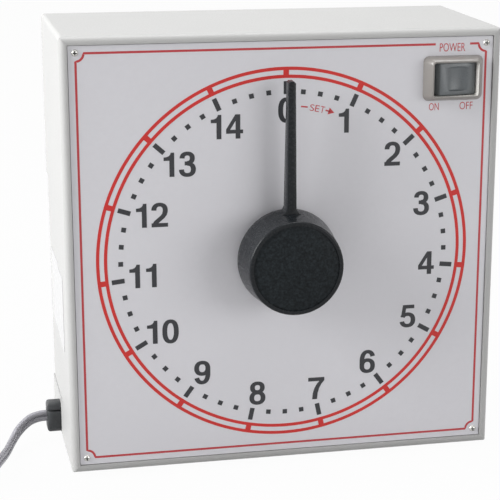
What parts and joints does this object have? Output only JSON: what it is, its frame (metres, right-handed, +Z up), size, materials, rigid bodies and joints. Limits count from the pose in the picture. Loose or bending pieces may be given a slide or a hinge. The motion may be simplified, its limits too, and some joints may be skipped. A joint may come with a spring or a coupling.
{
  "type": "countdown timer",
  "caption": "Square mains-powered countdown timer: printed dial with a knob and long pointer, rocker power switch, geared motor inside and a flat mains cord.",
  "frame": {"origin": "bottom centre of the case's bounding box, knob and feet included and the free mains lead left out", "axes": "+Z up, the dial faces -Y, +X to the right as the dial is read"},
  "size_m": [0.3171, 0.125, 0.2057],
  "materials": {
    "case_plastic": "satin moulded light grey",
    "cover_plastic": "satin moulded grey",
    "foot_rubber": "matt black",
    "face_enamel": "satin light grey enamel with printed dial",
    "screw_steel": "plated",
    "knob_plastic": "polished charcoal",
    "disc_plastic": "fine grained charcoal",
    "arbor_steel": "ground",
    "gear_plastic": "moulded tan",
    "spring_bronze": "bright",
    "cam_plastic": "moulded ivory",
    "bushing_brass": "turned",
    "frame_steel": "zinc plated",
    "gearbox_steel": "zinc plated",
    "motor_steel": "grey lacquer",
    "switch_plastic": "moulded black",
    "buzzer_iron": "blued",
    "coil_copper": "enamelled copper wire",
    "bezel_plastic": "moulded ivory",
    "rocker_plastic": "moulded dark grey",
    "relief_nylon": "moulded black",
    "cord_vinyl": "soft grey vinyl",
    "tie_vinyl": "matt black",
    "plug_vinyl": "soft grey vinyl",
    "blade_brass": "bright"
  },
  "bodies": {
    "case": {"housing": "case_plastic", "rear_cover": "cover_plastic", "rear_cover_screws": "screw_steel", "rubber_feet": "foot_rubber", "face_plate": "face_enamel", "face_screws": "screw_steel", "front_bushing": "bushing_brass", "bushing_nut": "screw_steel", "movement_front_plate": "frame_steel", "movement_rear_plate": "frame_steel", "movement_pillars": "frame_steel", "movement_screws": "screw_steel", "rear_bearing": "bushing_brass", "gearbox": "gearbox_steel", "motor_can": "motor_steel", "zero_switch": "switch_plastic", "buzzer_core": "buzzer_iron", "buzzer_coil": "coil_copper", "buzzer_reed": "arbor_steel", "terminal_block": "cam_plastic", "switch_bezel": "bezel_plastic", "power_switch_body": "switch_plastic", "power_switch_tabs": "blade_brass", "strain_relief_cap": "relief_nylon", "strain_relief_body": "relief_nylon", "cord": "cord_vinyl", "cord_coil": "cord_vinyl", "cord_tail": "cord_vinyl", "cord_tie": "tie_vinyl", "plug_body": "plug_vinyl", "plug_blades": "blade_brass"},
    "dial_drive": {"knob_pointer": "knob_plastic", "knob_disc": "disc_plastic", "knob_set_screw": "screw_steel", "arbor": "arbor_steel", "main_wheel": "gear_plastic", "clutch_spring": "spring_bronze", "zero_cam": "cam_plastic", "arbor_clip": "arbor_steel"},
    "motor_drive": {"motor_pinion": "gear_plastic"},
    "rocker": {"power_rocker": "rocker_plastic"},
    "zero_lever": {"zero_switch_lever": "arbor_steel"}
  },
  "joints": [
    {"name": "dial_turn", "type": "hinge", "parent": "case", "child": "dial_drive", "pos_m": [0, -0.03, 0.1023], "axis": [0, 1, 0], "range_deg": [0, 354]},
    {"name": "pinion_spin", "type": "hinge", "parent": "case", "child": "motor_drive", "pos_m": [0, -0.0215, 0.0723], "axis": [0, 1, 0], "range_deg": [-1065, 3]},
    {"name": "rocker_tip", "type": "hinge", "parent": "case", "child": "rocker", "pos_m": [0.0787, -0.02735, 0.1828], "axis": [0, 0, 1], "range_deg": [-18, 0]},
    {"name": "lever_press", "type": "hinge", "parent": "case", "child": "zero_lever", "pos_m": [-0.0115, -0.01515, 0.1217], "axis": [0, -1, 0], "range_deg": [0, 4], "stiffness_Nm_per_rad": 0.002, "springref_deg": -9.74}
  ],
  "couplings": [
    {"joint": "pinion_spin", "follows": "dial_turn", "ratio": -3}
  ]
}
